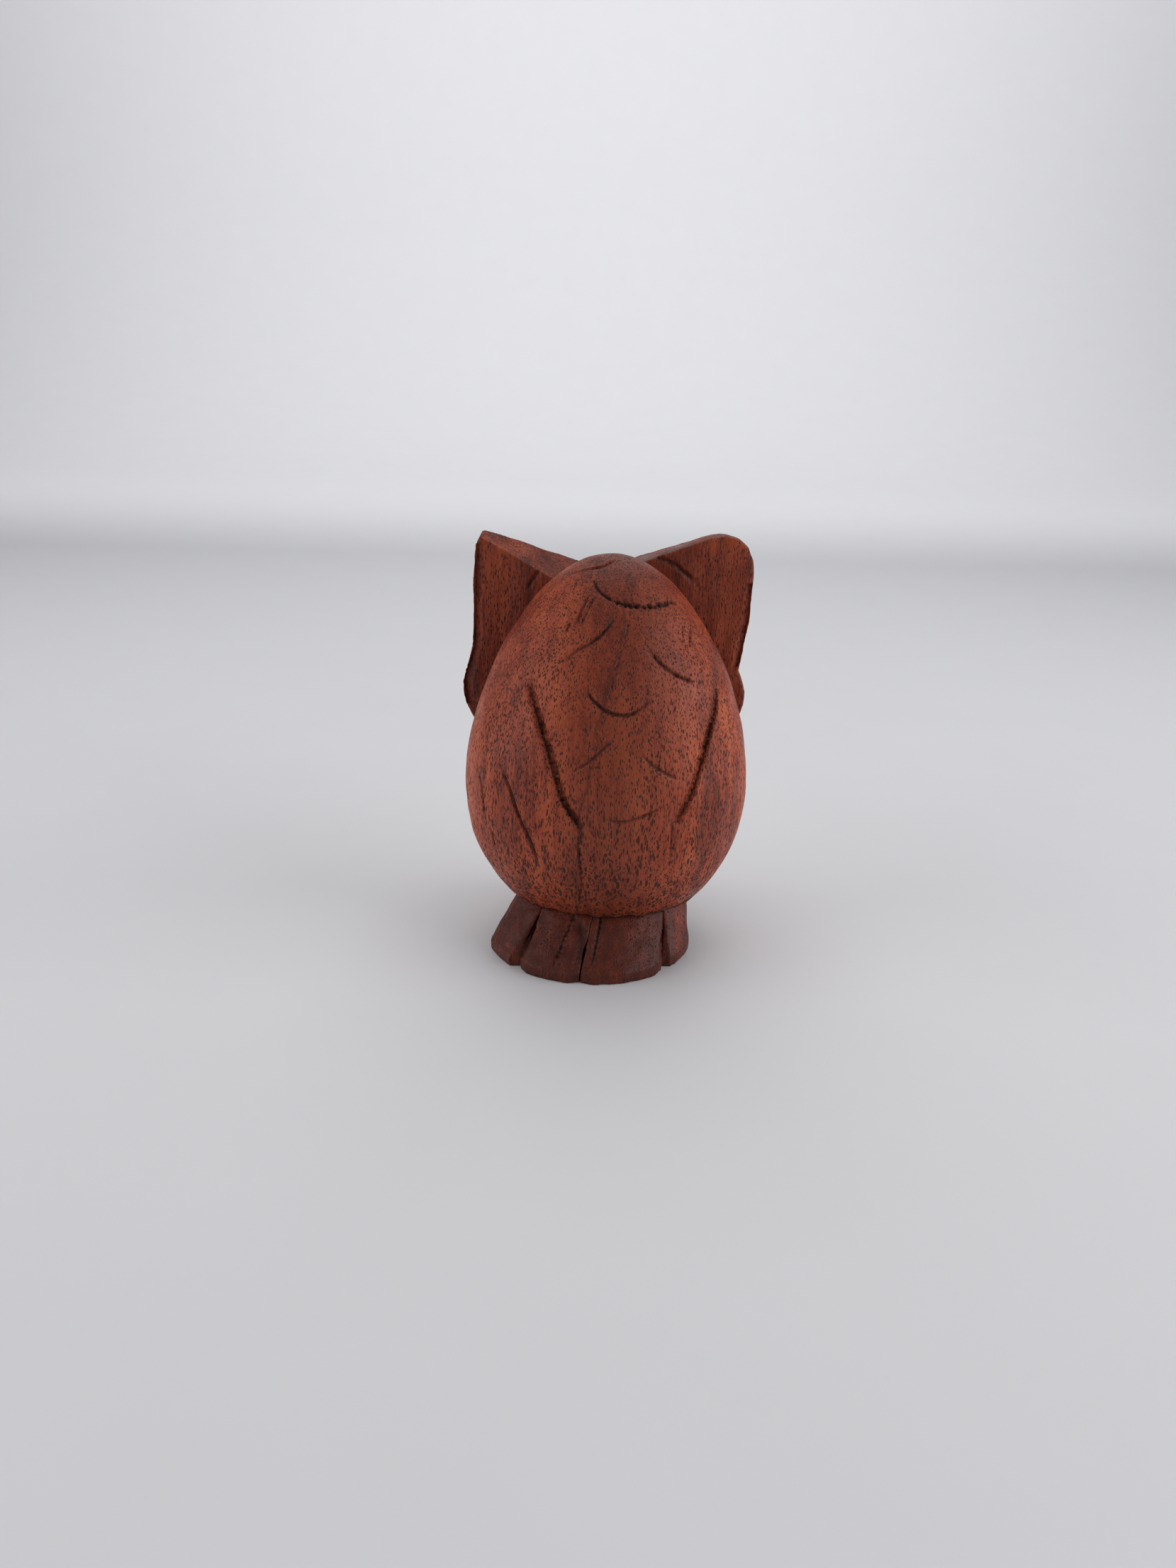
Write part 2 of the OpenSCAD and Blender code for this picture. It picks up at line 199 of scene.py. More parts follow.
class Egg:
    """The egg that the trunk is carved from, in millimetres."""

    whole_low = 2.2
    taper = 0.215

    def __init__(self, sizes):
        self.half_width = sizes.body_width / MM / 2
        self.half_depth = sizes.body_depth / MM / 2
        self.crown = sizes.crown_height / MM
        self.ledge = sizes.ledge_height / MM
        self.back = (TRUNK_LOW.y + TRUNK_HIGH.y) / 2
        self.middle = (self.crown + self.whole_low) / 2
        self.half = (self.crown - self.whole_low) / 2
        self.peak = math.sqrt(1 - self.taper ** 2) * (1 + self.taper ** 2)

    def share(self, z):
        """Share of the egg's full width that it has at height z."""
        s = min(1.0, max(-1.0, (z - self.middle) / self.half))
        return math.sqrt(1 - s * s) * (1 - self.taper * s) / self.peak

    def point(self, x, drop, way=1):
        """A point of the back or front, drop below the crown."""
        z = max(self.ledge, self.crown - drop)
        u = x / max(self.half_width * self.share(z), 0.01)
        y = self.back + way * self.half_depth * self.share(z) * math.sqrt(max(0.0, 1 - u * u))
        return Vector((x, y, z))


# ---------------------------------------------------------------- carving tools


class Stroke:
    """One cut of a knife or gouge along points of the surface."""

    def __init__(self, points, width, depth, start=0.25, end=0.25, rough=0.0):
        self.path = np.array([tuple(p) for p in curve_through(points)])
        self.width = width
        self.depth = depth
        self.start = start
        self.end = end
        self.rough = rough

    def measure(self, co):
        """Distance of each point from the stroke, and how far along it that is."""
        a = self.path[:-1]
        span = self.path[1:] - a
        length = np.linalg.norm(span, axis=1)
        before = np.concatenate(([0.0], np.cumsum(length)[:-1]))
        total = length.sum()
        best = np.full(len(co), 1e9)
        along = np.zeros(len(co))
        for k in range(len(a)):
            t = np.clip((co - a[k]) @ span[k] / length[k] ** 2, 0.0, 1.0)
            gap = np.linalg.norm(co - a[k] - t[:, None] * span[k], axis=1)
            nearer = gap < best
            best[nearer] = gap[nearer]
            along[nearer] = ((before[k] + t * length[k]) / total)[nearer]
        return best, along

    def fade(self, along):
        """The cut swells from nothing and runs out to nothing."""
        rise = np.clip(along / self.start, 0, 1) if self.start else 1.0
        fall = np.clip((1 - along) / self.end, 0, 1) if self.end else 1.0
        return np.sqrt(rise) * np.sqrt(fall)


def curve_through(points, per_span=5):
    """A smooth path through given points."""
    points = [Vector(p) for p in points]
    if len(points) == 2:
        return [points[0].lerp(points[1], i / per_span) for i in range(per_span + 1)]
    ends = [2 * points[0] - points[1]] + points + [2 * points[-1] - points[-2]]
    path = []
    for a, b, c, d in zip(ends, ends[1:], ends[2:], ends[3:]):
        for i in range(per_span):
            t = i / per_span
            path.append(0.5 * (
                2 * b + (c - a) * t + (2 * a - 5 * b + 4 * c - d) * t * t
                + (3 * b - a - 3 * c + d) * t ** 3
            ))
    return path + [points[-1]]


def places(bm):
    return np.array([tuple(v.co) for v in bm.verts])


def refine(bm, strokes, levels):
    """Splits the faces beside the strokes, finer at each level."""
    for level in range(levels):
        co = places(bm)
        near = np.zeros(len(co), bool)
        for stroke in strokes:
            reach = stroke.width * 1.15 + 0.9 / 2 ** level
            near |= stroke.measure(co)[0] < reach
        edges = [e for e in bm.edges if near[e.verts[0].index] and near[e.verts[1].index]]
        bmesh.ops.subdivide_edges(bm, edges=edges, cuts=1, use_grid_fill=True)
        bm.verts.index_update()


def carve(bm, strokes):
    """Presses the strokes into the surface and marks them in the cut layer; the mark darkens each
    groove as painted shade together with old wax.
    """
    bm.normal_update()
    bm.verts.index_update()
    co = places(bm)
    push = np.zeros(len(co))
    groove_shade_and_wax = np.zeros(len(co))
    for stroke in strokes:
        gap, along = stroke.measure(co)
        ragged = np.ones(len(co))
        close = np.nonzero(gap < stroke.width * 1.5)[0]
        if stroke.rough:
            for i in close:
                ragged[i] = 1 + stroke.rough * noise.noise(Vector(co[i]) * 2.3)
        shape = np.clip(1 - gap / (stroke.width * ragged), 0, 1) * stroke.fade(along)
        push = np.maximum(push, stroke.depth * shape * ragged)
        groove_shade_and_wax = np.maximum(groove_shade_and_wax, np.clip(1.5 * shape, 0, 1) * min(1.0, stroke.depth / 0.4))
    layer = cut_and_shade_layer(bm)
    for v in bm.verts:
        i = v.index
        if push[i] > EVERY:
            v.co -= v.normal * push[i]
        v[layer] = max(v[layer], groove_shade_and_wax[i])


# The cut layer darkens the wood: painted shade with old wax in the grooves, and bands of painted
# shade
def cut_and_shade_layer(bm):
    layers = bm.verts.layers.float
    return layers.get("cut") or layers.new("cut")


def paint_shade(bm, amount_at):
    """Paints shade into the cut layer, in uneven patches, wherever amount_at says a place lies in
    shade.
    """
    layer = cut_and_shade_layer(bm)
    for v in bm.verts:
        amount = min(0.8, amount_at(v))
        if amount > 0:
            patchy = 0.7 + 0.6 * noise.noise(v.co / 1.7)
            v[layer] = max(v[layer], amount * patchy)


def wander(bm, amount, spread, seed):
    """Moves the surface in and out a little, as a hand leaves it."""
    bm.normal_update()
    shift = Vector((seed * 7.3, seed * 3.1, seed * 5.7))
    for v in bm.verts:
        broad = noise.noise(v.co / spread + shift)
        fine = noise.noise(v.co * 2.6 / spread + shift)
        v.co += v.normal * amount * (broad + 0.35 * fine)


def stand(bm):
    """Keeps a piece on the floor."""
    for v in bm.verts:
        v.co.z = max(0.0, v.co.z)


def plane_off(bm, point, normal, soft, verts):
    """Takes away what stands past a plane, as one flat knife cut would."""
    point, normal = Vector(point), Vector(normal).normalized()
    for v in verts:
        over = (v.co - point).dot(normal)
        if over > -soft:
            v.co -= normal * (over if over > soft else (over + soft) ** 2 / (4 * soft))


def chamfer(bm, path, width, side):
    """Cuts a narrow facet along an upright edge of the back; side is +1 or -1 for left or right."""
    path = [Vector(p) for p in path]
    for v in bm.verts:
        for a, b in zip(path, path[1:]):
            span = b - a
            t = (v.co - a).dot(span) / span.length_squared
            if not 0 <= t <= 1:
                continue
            out = Vector((-span.z, 0, span.x)).normalized() * side
            normal = (out + Vector((0, 1, 0))).normalized()
            over = (v.co - a - t * span).dot(normal) + width / 2
            if 0 < over < width * 2:
                v.co -= normal * over


def rag(bm, height, band, amount, seed):
    """Makes the edge of a cut at some height uneven, as where the grain has torn."""
    shift = Vector((seed * 4.1, seed * 2.7, 0.0))
    for v in bm.verts:
        near = 1 - abs(v.co.z - height) / band
        if near > 0:
            place = Vector((v.co.x, v.co.y, 0.0))
            lift = noise.noise(place / 2.2 + shift) + 0.5 * noise.noise(place * 1.3 + shift)
            v.co.z += amount * near * lift


def hollow(bm, centre, radius, depth, way):
    """Presses a shallow round hollow into the side that faces way."""
    centre, way = Vector(centre), Vector(way).normalized()
    bm.normal_update()
    for v in bm.verts:
        offset = v.co - centre
        gap = (offset - way * offset.dot(way)).length
        if gap < radius and v.normal.dot(way) > 0.3:
            v.co -= way * depth * (1 - (gap / radius) ** 2) ** 2


# ---------------------------------------------------------------- making pieces


def finish_piece(bm, name, material, nodes):
    """Turns a bmesh in millimetres into a piece that stands for the given nodes."""
    bmesh.ops.scale(bm, vec=(MM, MM, MM), verts=bm.verts)
    mesh = bpy.data.meshes.new(name)
    for face in bm.faces:
        face.smooth = True
    bm.to_mesh(mesh)
    bm.free()
    mesh.materials.append(material)
    piece = bpy.data.objects.new(name, mesh)
    bpy.context.scene.collection.objects.link(piece)
    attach(piece, BODY)
    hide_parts(*nodes)
    return piece


def clay_copy(size, rounds, *nodes):
    """Frame nodes copied as one in millimetres, with an even skin and softened edges."""
    mesh = bpy.data.meshes.new("clay")
    bm = bmesh.new()
    for node in nodes:
        part = bmesh.new()
        part.from_mesh(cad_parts[node].data)
        bmesh.ops.remove_doubles(part, verts=part.verts, dist=EVERY)
        part.to_mesh(mesh)
        part.free()
        bm.from_mesh(mesh)
    bm.to_mesh(mesh)
    bm.free()
    copy = bpy.data.objects.new("clay_copy", mesh)
    bpy.context.scene.collection.objects.link(copy)
    skin = copy.modifiers.new("Skin", "REMESH")
    skin.mode = "VOXEL"
    skin.voxel_size = size
    bpy.context.view_layer.update()
    shaped = bpy.data.meshes.new_from_object(
        copy.evaluated_get(bpy.context.evaluated_depsgraph_get())
    )
    bm = bmesh.new()
    bm.from_mesh(shaped)
    bpy.data.objects.remove(copy)
    bpy.data.meshes.remove(mesh)
    bpy.data.meshes.remove(shaped)
    bmesh.ops.scale(bm, vec=(1 / MM, 1 / MM, 1 / MM), verts=bm.verts)
    soften(bm, rounds, bm.verts)
    return bm


def soften(bm, rounds, verts):
    for _ in range(rounds):
        bmesh.ops.smooth_vert(
            bm, verts=verts, factor=0.5, use_axis_x=True, use_axis_y=True, use_axis_z=True
        )


# ---------------------------------------------------------------- materials


class Graph:
    """Adds and joins nodes of one node tree."""

    def __init__(self, tree):
        self.tree = tree
        self.column = 0

    def add(self, kind, **settings):
        node = self.tree.nodes.new(kind)
        node.location = (200 * self.column, -40 * (self.column % 5))
        self.column += 1
        for name, value in settings.items():
            setattr(node, name, value)
        return node

    def feed(self, socket, value):
        if isinstance(value, bpy.types.NodeSocket):
            self.tree.links.new(value, socket)
        else:
            socket.default_value = value

    def math(self, operation, a, b=0.0, c=0.0, clamp=False):
        node = self.add("ShaderNodeMath", operation=operation, use_clamp=clamp)
        for socket, value in zip(node.inputs, (a, b, c)):
            self.feed(socket, value)
        return node.outputs[0]

    def scaled(self, vector, scale, move=(0.0, 0.0, 0.0)):
        node = self.add("ShaderNodeMapping")
        self.feed(node.inputs["Vector"], vector)
        node.inputs["Scale"].default_value = scale
        node.inputs["Location"].default_value = move
        return node.outputs[0]

    def noise(self, vector, detail=2.0, rough=0.5):
        node = self.add("ShaderNodeTexNoise")
        self.feed(node.inputs["Vector"], vector)
        node.inputs["Scale"].default_value = 1.0
        node.inputs["Detail"].default_value = detail
        node.inputs["Roughness"].default_value = rough
        return node.outputs["Fac"]

    def spread(self, value, low, high, out_low=0.0, out_high=1.0):
        node = self.add("ShaderNodeMapRange", interpolation_type="SMOOTHSTEP")
        for socket, item in zip(node.inputs, (value, low, high, out_low, out_high)):
            self.feed(socket, item)
        return node.outputs[0]

    def mix(self, factor, a, b, blend="MIX"):
        node = self.add("ShaderNodeMix", data_type="RGBA", blend_type=blend)
        self.feed(node.inputs["Factor"], factor)
        self.feed(node.inputs["A"], a)
        self.feed(node.inputs["B"], b)
        return node.outputs["Result"]


def shader_group(name, inputs, outputs):
    """An empty node group with named sockets, and its graph."""
    tree = bpy.data.node_groups.new(name, "ShaderNodeTree")
    kinds = {"value": "NodeSocketFloat", "vector": "NodeSocketVector", "colour": "NodeSocketColor"}
    for label, kind, default in inputs:
        socket = tree.interface.new_socket(label, in_out="INPUT", socket_type=kinds[kind])
        socket.default_value = default
    for label, kind in outputs:
        tree.interface.new_socket(label, in_out="OUTPUT", socket_type=kinds[kind])
    graph = Graph(tree)
    source = graph.add("NodeGroupInput")
    target = graph.add("NodeGroupOutput")
    return graph, source.outputs, target.inputs


def pores_group():
    """Long open pores along the grain, seen as dots on end grain."""
    graph, given, out = shader_group(
        "Open pores",
        [("Vector", "vector", (0, 0, 0)), ("Width", "value", 0.22), ("Length", "value", 0.8),
         ("Amount", "value", 0.5)],
        [("Pores", "value"), ("Depth", "value")],
    )
    shape = graph.add("ShaderNodeCombineXYZ")
    for socket, size in zip(shape.inputs, ("Width", "Width", "Length")):
        graph.feed(socket, graph.math("DIVIDE", 1.0, given[size]))
    bend = graph.noise(graph.scaled(given["Vector"], (0.35, 0.35, 0.12)), 1.0)
    bent = graph.add("ShaderNodeVectorMath", operation="MULTIPLY_ADD")
    graph.feed(bent.inputs[0], bend)
    bent.inputs[1].default_value = (0.9, 0.9, 0.4)
    graph.feed(bent.inputs[2], given["Vector"])
    stretched = graph.add("ShaderNodeVectorMath", operation="MULTIPLY")
    graph.feed(stretched.inputs[0], bent.outputs[0])
    graph.feed(stretched.inputs[1], shape.outputs[0])
    cells = graph.add("ShaderNodeTexVoronoi", feature="F1")
    cells.inputs["Scale"].default_value = 1.0
    graph.feed(cells.inputs["Vector"], stretched.outputs[0])
    pick = graph.add("ShaderNodeSeparateColor")
    graph.feed(pick.inputs[0], cells.outputs["Color"])
    crowd = graph.noise(graph.scaled(given["Vector"], (0.22, 0.22, 0.07)), 2.0)
    size = graph.math("MULTIPLY_ADD", crowd, 0.5, given["Amount"])
    size = graph.math("MULTIPLY", size, graph.math("MULTIPLY_ADD", pick.outputs[0], 0.42, 0.2))
    edge = graph.math("SUBTRACT", size, cells.outputs["Distance"])
    graph.feed(out["Pores"], graph.spread(edge, -0.06, 0.07))
    graph.feed(out["Depth"], graph.spread(edge, -0.12, 0.16))
    return graph.tree


def grain_group():
    """Fibres, broad bands and the colour of the wood along them."""
    graph, given, out = shader_group(
        "Wood grain",
        [("Vector", "vector", (0, 0, 0)), ("Light", "colour", (0.4, 0.12, 0.07, 1)),
         ("Red", "colour", (0.27, 0.06, 0.04, 1)), ("Dark", "colour", (0.1, 0.02, 0.02, 1)),
         ("Depth of colour", "value", 0.5)],
        [("Color", "colour"), ("Fibre", "value")],
    )
    vector = given["Vector"]
    broad = graph.noise(graph.scaled(vector, (0.12, 0.10, 0.035)), 3.0, 0.55)
    band = graph.noise(graph.scaled(vector, (0.75, 0.55, 0.03)), 3.0, 0.6)
    fibre = graph.noise(graph.scaled(vector, (5.2, 5.2, 0.32)), 3.0, 0.65)
    speck = graph.noise(graph.scaled(vector, (3.1, 3.1, 1.6)), 2.0, 0.6)
    tone = graph.math("MULTIPLY_ADD", broad, 0.9, graph.math("MULTIPLY", band, 0.75))
    tone = graph.math("MULTIPLY_ADD", fibre, 0.8, tone)
    tone = graph.math("MULTIPLY_ADD", speck, 0.4, tone)
    tone = graph.math("SUBTRACT", tone, 0.2)
    tone = graph.math("SUBTRACT", tone, given["Depth of colour"])
    low = graph.mix(graph.spread(tone, 0.3, 0.8), given["Dark"], given["Red"])
    graph.feed(out["Color"], graph.mix(graph.spread(tone, 0.55, 1.15), low, given["Light"]))
    graph.feed(out["Fibre"], fibre)
    return graph.tree


def heart_group():
    """A dark heartwood streak that wanders down the back of the block and fades to its front."""
    graph, given, out = shader_group(
        "Heart streak",
        [("Vector", "vector", (0, 0, 0)), ("Place", "value", 0.6), ("Swing", "value", 3.2),
         ("Width", "value", 1.2)],
        [("Streak", "value")],
    )
    parts = graph.add("ShaderNodeSeparateXYZ")
    graph.feed(parts.inputs[0], given["Vector"])
    turn = graph.math("TANH", graph.math("MULTIPLY_ADD", parts.outputs[2], -0.0833, 3.333))
    path = graph.math("MULTIPLY_ADD", turn, given["Swing"], given["Place"])
    front = graph.math("MAXIMUM", graph.math("MULTIPLY", parts.outputs[1], -0.12), 0.0)
    shake = graph.noise(graph.scaled(given["Vector"], (0.5, 0.5, 0.28)), 3.0, 0.6)
    path = graph.math("ADD", path, graph.math("MULTIPLY_ADD", shake, 3.0, -1.5))
    away = graph.math("ABSOLUTE", graph.math("SUBTRACT", parts.outputs[0], path))
    away = graph.math("ADD", away, front)
    graph.feed(out["Streak"], graph.spread(graph.math("DIVIDE", away, given["Width"]), 1.0, 0.05))
    return graph.tree


def handling_and_shade_group():
    """Dark old wax in the pores, painted shade with old wax in the cuts, and a rubbed, uneven
    sheen.
    """
    graph, given, out = shader_group(
        "Handling_and_shade",
        [("Vector", "vector", (0, 0, 0)), ("Color", "colour", (0.3, 0.1, 0.05, 1)),
         ("Pore colour", "colour", (0.04, 0.01, 0.01, 1)), ("Pores", "value", 0.0),
         ("Cut", "value", 0.0), ("Stain", "value", 0.0)],
        [("Color", "colour"), ("Roughness", "value")],
    )
    dirt_and_shade_patches = graph.noise(graph.scaled(given["Vector"], (0.55, 0.55, 0.4)), 3.0, 0.6)
    dulled = graph.math("MULTIPLY", given["Stain"], graph.spread(dirt_and_shade_patches, 0.2, 0.8, 0.6, 1.0))
    dark = graph.mix(dulled, given["Color"], given["Pore colour"])
    dark = graph.mix(graph.math("MULTIPLY", given["Pores"], 0.86), dark, given["Pore colour"])
    # Painted shade with old wax in the cuts, patchy along the surface
    cut = graph.math("MULTIPLY", given["Cut"], graph.spread(dirt_and_shade_patches, 0.15, 0.7, 0.72, 0.97))
    graph.feed(out["Color"], graph.mix(cut, dark, given["Pore colour"]))
    rub = graph.noise(graph.scaled(given["Vector"], (0.3, 0.3, 0.22)), 2.0)
    rough = graph.spread(rub, 0.3, 0.7, 0.38, 0.52)
    rough = graph.math("MULTIPLY_ADD", given["Pores"], 0.25, rough)
    graph.feed(out["Roughness"], graph.math("MULTIPLY_ADD", cut, 0.3, rough, clamp=True))
    return graph.tree


GROUP_MAKERS = {
    "Open pores": pores_group, "Wood grain": grain_group,
    "Heart streak": heart_group, "Handling_and_shade": handling_and_shade_group,
}


def use_group(graph, name, **values):
    """Places a shared group, made the first time, with its own values."""
    tree = bpy.data.node_groups.get(name) or GROUP_MAKERS[name]()
    node = graph.add("ShaderNodeGroup", node_tree=tree)
    for label, value in values.items():
        graph.feed(node.inputs[label.replace("_", " ")], value)
    return node.outputs


# Heart streaks of the block: place and swing across it, width, and how dark; the broad third band
# is painted shade down the middle of the back
HEART_STREAKS_AND_BACK_SHADE = [
    (0.6, 3.2, 0.7, 1.0),
    (0.6, 3.2, 5.5, 0.6),
    (-1.5, 1.0, 13.0, 0.68),
    (-14.2, 1.0, 1.5, 0.7),
]


def wood(name, depth=0.5, stain=0.0, pore_amount=0.5, wide_amount=0.62):
    """Waxed open-pored hardwood, with its grain along Z through the whole block."""
    made = bpy.data.materials.get(name)
    if made:
        return made
    finish = bpy.context.scene.owl_finish
    colours = [tuple(c) + (1.0,) for c in (finish.wood_light, finish.wood_red, finish.wood_dark)]
    pore_colour = tuple(finish.pore) + (1.0,)
    material = bpy.data.materials.new(name)
    material.use_nodes = True
    graph = Graph(material.node_tree)
    shader = material.node_tree.nodes["Principled BSDF"]
    place = graph.add("ShaderNodeTexCoord")
    vector = graph.scaled(place.outputs["Object"], (1 / MM, 1 / MM, 1 / MM))
    grain = use_group(
        graph, "Wood grain", Vector=vector, Light=colours[0], Red=colours[1], Dark=colours[2],
        Depth_of_colour=depth,
    )
    streak = 0.0
    # Dark heart streaks, with one broad band of painted shade down the middle of the back
    for place_x, swing, width, amount in HEART_STREAKS_AND_BACK_SHADE:
        one = use_group(
            graph, "Heart streak", Vector=vector, Place=place_x, Swing=swing, Width=width
        )
        streak = graph.math("MAXIMUM", streak, graph.math("MULTIPLY", one["Streak"], amount))
    colour = graph.mix(graph.math("MULTIPLY", streak, 0.8), grain["Color"], colours[2])
    fine = use_group(graph, "Open pores", Vector=vector, Amount=pore_amount)
    # The pores open wider towards the foot of the block
    height_up = graph.add("ShaderNodeSeparateXYZ")
    graph.feed(height_up.inputs[0], vector)
    wide = use_group(
        graph, "Open pores", Vector=vector, Width=0.44, Length=1.85,
        Amount=graph.spread(height_up.outputs[2], 8.0, 40.0, wide_amount, 0.0),
    )
    pores = {key: graph.math("MAXIMUM", fine[key], wide[key]) for key in ("Pores", "Depth")}
    # The cut layer: painted shade with old wax in the grooves, and painted shade along the ledge,
    # the ear edges and the foot of the tail
    cut = graph.add("ShaderNodeAttribute", attribute_name="cut")
    handled_and_shaded = use_group(
        graph, "Handling_and_shade", Vector=vector, Color=colour, Pore_colour=pore_colour,
        Pores=pores["Pores"], Cut=cut.outputs["Fac"], Stain=stain,
    )
    height = graph.math("MULTIPLY_ADD", pores["Depth"], -1.0, grain["Fibre"])
    bump = graph.add("ShaderNodeBump")
    bump.inputs["Strength"].default_value = 0.8
    bump.inputs["Distance"].default_value = 0.09 * MM
    graph.feed(bump.inputs["Height"], height)
    graph.feed(shader.inputs["Base Color"], handled_and_shaded["Color"])
    graph.feed(shader.inputs["Roughness"], handled_and_shaded["Roughness"])
    graph.feed(shader.inputs["Normal"], bump.outputs[0])
    shader.inputs["Specular IOR Level"].default_value = 0.25
    shader.inputs["Coat Weight"].default_value = finish.wax
    shader.inputs["Coat Roughness"].default_value = 0.38
    return material


def bead_material():
    """Glossy black bead with a faint bloom of dust."""
    material = bpy.data.materials.new("black_bead")
    material.use_nodes = True
    graph = Graph(material.node_tree)
    shader = material.node_tree.nodes["Principled BSDF"]
    place = graph.add("ShaderNodeTexCoord")
    bloom = graph.noise(graph.scaled(place.outputs["Object"], (900.0, 900.0, 900.0)), 4.0)
    black = tuple(bpy.context.scene.owl_finish.bead) + (1.0,)
    dusty = graph.mix(graph.spread(bloom, 0.45, 0.8, 0.0, 0.12), black, (0.2, 0.17, 0.15, 1.0))
    graph.feed(shader.inputs["Base Color"], dusty)
    graph.feed(shader.inputs["Roughness"], graph.spread(bloom, 0.3, 0.8, 0.06, 0.22))
    return material


# ---------------------------------------------------------------- the trunk

# Cuts are given across the owl and as a drop below its crown, on the back
WING_CUTS = {
    1: [
        (10.9, 15.6), (9.8, 18.6), (8.7, 21.8), (7.4, 25.6), (6.1, 29.9), (4.6, 32.3), (3.3, 34.2),
    ],
    -1: [(-14.7, 16.4), (-14.5, 19.1), (-13.6, 22.1), (-12.5, 26.0), (-11.5, 29.2), (-9.4, 33.6)],
}


# Cuts on the crown, the back and the wings: the points they pass, half-width,
# depth, how they fade in and out, and how ragged they are
BACK_CUTS = [
    # Crown: a long nick, then the wide ragged scallop
    ([(5.5, 2.4), (1.5, 1.1), (-0.4, 0.4)], 0.34, 0.32, 0.6, 0.3, 0.0),
    ([(2.5, 2.6), (1.6, 3.8), (-0.2, 4.9)], 0.36, 0.42, 0.3, 0.2, 0.0),
    ([(-0.1, 4.8), (-2.4, 5.4), (-5.1, 5.6), (-8.6, 5.6)], 0.42, 0.5, 0.1, 0.1, 0.9),
    # Short chisel marks beside it
    ([(3.1, 4.4), (4.7, 7.8)], 0.26, 0.26, 0.25, 0.25, 0.0),
    ([(2.3, 4.5), (4.1, 8.0)], 0.24, 0.22, 0.25, 0.25, 0.0),
    ([(5.3, 7.6), (6.1, 8.9)], 0.24, 0.22, 0.25, 0.25, 0.0),
    ([(-9.7, 8.2), (-9.6, 10.3)], 0.24, 0.24, 0.25, 0.25, 0.8),
    ([(-10.8, 8.8), (-10.6, 10.9)], 0.26, 0.26, 0.25, 0.25, 0.8),
    ([(-9.0, 8.4), (-8.9, 9.8)], 0.18, 0.16, 0.25, 0.25, 0.8),
    # Scallops down the back
    ([(-0.4, 6.8), (1.0, 8.5), (2.6, 9.8), (4.4, 10.8), (6.4, 12.6)], 0.34, 0.36, 0.2, 0.6, 0.0),
    (
        [(-4.7, 10.2), (-5.9, 11.7), (-7.5, 13.1), (-9.1, 14.1), (-11.1, 15.1)],
        0.36, 0.4, 0.4, 0.1, 0.6,
    ),
    (
        [(3.1, 15.6), (2.0, 16.9), (0.4, 18.0), (-1.2, 18.4), (-3.1, 18.3), (-5.6, 16.6)],
        0.36, 0.42, 0.12, 0.5, 0.3,
    ),
    ([(-0.6, 21.4), (1.2, 23.3), (3.0, 24.9), (5.0, 26.1)], 0.3, 0.32, 0.3, 0.5, 0.0),
    ([(-4.3, 23.5), (-5.7, 24.9), (-7.4, 26.1), (-9.3, 27.2)], 0.3, 0.3, 0.4, 0.2, 0.4),
    (
        [(0.7, 32.1), (-1.6, 32.7), (-4.1, 32.3), (-6.5, 31.3), (-7.9, 30.5)],
        0.3, 0.28, 0.3, 0.4, 0.7,
    ),
    # Feather lines on the wings
    (
        [(14.8, 26.5), (13.3, 29.9), (11.8, 33.8), (10.3, 37.1), (9.2, 40.6)],
        0.36, 0.46, 0.35, 0.15, 0.0,
    ),
    ([(18.3, 28.0), (17.6, 31.0), (16.7, 36.4)], 0.28, 0.3, 0.4, 0.4, 0.0),
    ([(16.1, 37.1), (15.5, 39.7)], 0.28, 0.3, 0.25, 0.25, 0.5),
    ([(-8.9, 32.3), (-8.9, 36.0), (-8.8, 40.2)], 0.26, 0.26, 0.2, 0.5, 0.3),
    # The heart of the wood, opened along the grain
    ([(3.3, 34.0), (3.6, 37.6), (3.2, 42.2), (3.5, 46.7), (3.9, 49.4)], 0.26, 0.24, 0.1, 0.1, 1.3),
    (
        [(-2.6, 3.1), (-2.4, 5.4), (-2.1, 8.3), (-1.2, 11.2), (-0.4, 14.2), (0.1, 16.8)],
        0.22, 0.12, 0.1, 0.1, 1.3,
    ),
    ([(0.3, 18.1), (0.7, 19.5), (0.9, 22.0), (1.6, 26.0)], 0.2, 0.1, 0.1, 0.3, 1.3),
    # Fine line on the crown along the right ear
    ([(-6.0, 1.9), (-8.4, 4.0), (-11.2, 7.4)], 0.22, 0.2, 0.4, 0.4, 0.0),
]


def back_strokes(egg, cut_depth):
    """Every cut on the crown, the back and the wings."""
    cuts = [
        (WING_CUTS[1], 0.7, cut_depth, 0.3, 0.12, 0.3),
        (WING_CUTS[-1], 0.55, cut_depth * 0.9, 0.35, 0.2, 0.3),
    ]
    return [
        Stroke([egg.point(x, drop) for x, drop in points], *sizes)
        for points, *sizes in cuts + BACK_CUTS
    ]


# The front edge of a wing, and how far its two feather lines stand outside it
WING_EDGE = [(16.2, 24.5), (15.4, 30.0), (13.2, 38.0), (10.0, 45.5)]
LINE_SHIFTS = (1.9, 3.5)


